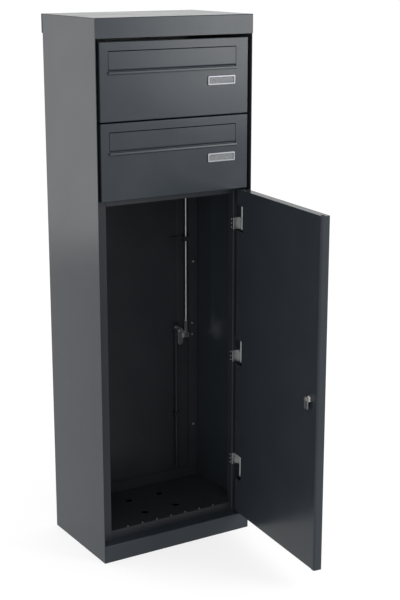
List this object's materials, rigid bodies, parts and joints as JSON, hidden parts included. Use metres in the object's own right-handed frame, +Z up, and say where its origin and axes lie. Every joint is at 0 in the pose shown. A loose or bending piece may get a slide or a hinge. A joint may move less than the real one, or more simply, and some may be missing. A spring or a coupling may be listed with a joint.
{
  "type": "parcel and letterbox cabinet",
  "caption": "Free-standing steel mail cabinet: letterboxes with lift-up flaps above a parcel compartment with hinged front and rear doors.",
  "frame": {"origin": "centre of the cabinet's footprint on the ground, doors left out", "axes": "+Z up, the letter flaps and the parcel door face -Y, +X is the side that the parcel door is hinged on"},
  "size_m": [0.416, 0.6506, 1.3],
  "materials": {
    "grey_powder_coat": "satin",
    "dark_powder_coat": "satin",
    "zinc_steel": "satin",
    "chrome_lock": "polished",
    "name_frame": "satin",
    "name_card": "matte",
    "clear_window": "clear"
  },
  "bodies": {
    "cabinet": {"left_side_panel": "grey_powder_coat", "right_side_panel": "grey_powder_coat", "roof_cap": "grey_powder_coat", "base_plate": "dark_powder_coat", "front_plinth": "grey_powder_coat", "rear_plinth": "grey_powder_coat", "floor_pan": "dark_powder_coat", "front_sill": "dark_powder_coat", "frame_rivets": "zinc_steel", "left_jamb": "dark_powder_coat", "right_jamb": "dark_powder_coat", "header_rail": "dark_powder_coat", "compartment_ceiling": "dark_powder_coat", "rear_left_stile": "dark_powder_coat", "rear_right_stile": "dark_powder_coat", "rear_bottom_rail": "dark_powder_coat", "rear_middle_rail": "dark_powder_coat", "rear_module_rail": "dark_powder_coat", "rear_top_rail": "dark_powder_coat", "rear_pivot_pins": "zinc_steel", "box_side_rails": "dark_powder_coat", "lower_box_shell": "dark_powder_coat", "upper_box_shell": "dark_powder_coat", "lower_box_top": "dark_powder_coat", "upper_box_top": "dark_powder_coat", "lower_front_panel": "grey_powder_coat", "upper_front_panel": "grey_powder_coat", "flap_rods": "zinc_steel", "lower_name_frame": "name_frame", "upper_name_frame": "name_frame", "name_cards": "name_card", "name_windows": "clear_window", "hinge_frame_leaves": "zinc_steel", "hinge_pins": "zinc_steel", "strike_plate": "zinc_steel", "frame_screws": "zinc_steel"},
    "parcel_door": {"parcel_door_skin": "grey_powder_coat", "parcel_door_liner": "dark_powder_coat", "hinge_door_leaves": "zinc_steel", "parcel_lock": "chrome_lock"},
    "parcel_lock_turn": {"parcel_lock_plug": "chrome_lock", "parcel_lock_cam": "zinc_steel", "parcel_cam_screw": "zinc_steel"},
    "lower_flap": {"lower_flap": "grey_powder_coat"},
    "upper_flap": {"upper_flap": "grey_powder_coat"},
    "rear_parcel_door": {"rear_parcel_door": "grey_powder_coat", "rear_door_liner": "dark_powder_coat", "rear_parcel_lock": "chrome_lock", "rod_guides": "zinc_steel"},
    "lock_rotor": {"rear_parcel_lock_plug": "chrome_lock", "lock_rotor": "zinc_steel", "rotor_fasteners": "zinc_steel"},
    "upper_lock_rod": {"upper_lock_rod": "zinc_steel"},
    "lower_lock_rod": {"lower_lock_rod": "zinc_steel"},
    "lower_rear_door": {"lower_rear_door": "grey_powder_coat", "lower_rear_lock": "chrome_lock"},
    "upper_rear_door": {"upper_rear_door": "grey_powder_coat", "upper_rear_lock": "chrome_lock"},
    "lower_rear_cam": {"lower_rear_cam": "zinc_steel"},
    "upper_rear_cam": {"upper_rear_cam": "zinc_steel"}
  },
  "joints": [
    {"name": "parcel_door_hinge", "type": "hinge", "parent": "cabinet", "child": "parcel_door", "pos_m": [0.1898, -0.125, 0.4667], "axis": [0, 0, 1], "range_deg": [-85, 25]},
    {"name": "parcel_lock_key", "type": "hinge", "parent": "parcel_door", "child": "parcel_lock_turn", "pos_m": [0.14508, -0.47554, 0.46], "axis": [-0.9962, 0.0872, 0], "range_deg": [0, 90]},
    {"name": "rear_parcel_door_hinge", "type": "hinge", "parent": "cabinet", "child": "rear_parcel_door", "pos_m": [-0.19, 0.1252, 0.4667], "axis": [0, 0, 1], "range_deg": [0, 110]},
    {"name": "rear_lock_key", "type": "hinge", "parent": "rear_parcel_door", "child": "lock_rotor", "pos_m": [0.15, 0.106, 0.4775], "axis": [0, -1, 0], "range_deg": [0, 90]},
    {"name": "upper_rod_slide", "type": "slide", "parent": "rear_parcel_door", "child": "upper_lock_rod", "axis": [0, 0, 1], "range_m": [0, 0.0256]},
    {"name": "lower_rod_slide", "type": "slide", "parent": "rear_parcel_door", "child": "lower_lock_rod", "axis": [0, 0, -1], "range_m": [0, 0.0256]},
    {"name": "lower_flap_lift", "type": "hinge", "parent": "cabinet", "child": "lower_flap", "pos_m": [-0.0057, -0.1295, 1.0422], "axis": [-1, 0, 0], "range_deg": [0, 75]},
    {"name": "lower_rear_door_hinge", "type": "hinge", "parent": "cabinet", "child": "lower_rear_door", "pos_m": [-0.19, 0.1252, 0.97765], "axis": [0, 0, 1], "range_deg": [0, 110]},
    {"name": "lower_rear_key", "type": "hinge", "parent": "lower_rear_door", "child": "lower_rear_cam", "pos_m": [0.15, 0.1065, 0.97765], "axis": [0, -1, 0], "range_deg": [0, 90]},
    {"name": "upper_flap_lift", "type": "hinge", "parent": "cabinet", "child": "upper_flap", "pos_m": [-0.0057, -0.1295, 1.2229], "axis": [-1, 0, 0], "range_deg": [0, 75]},
    {"name": "upper_rear_door_hinge", "type": "hinge", "parent": "cabinet", "child": "upper_rear_door", "pos_m": [-0.19, 0.1252, 1.15835], "axis": [0, 0, 1], "range_deg": [0, 110]},
    {"name": "upper_rear_key", "type": "hinge", "parent": "upper_rear_door", "child": "upper_rear_cam", "pos_m": [0.15, 0.1065, 1.15835], "axis": [0, -1, 0], "range_deg": [0, 90]}
  ],
  "couplings": [
    {"joint": "upper_rod_slide", "follows": "rear_lock_key", "m_per_rad": 0.016206},
    {"joint": "lower_rod_slide", "follows": "rear_lock_key", "m_per_rad": 0.016206}
  ]
}
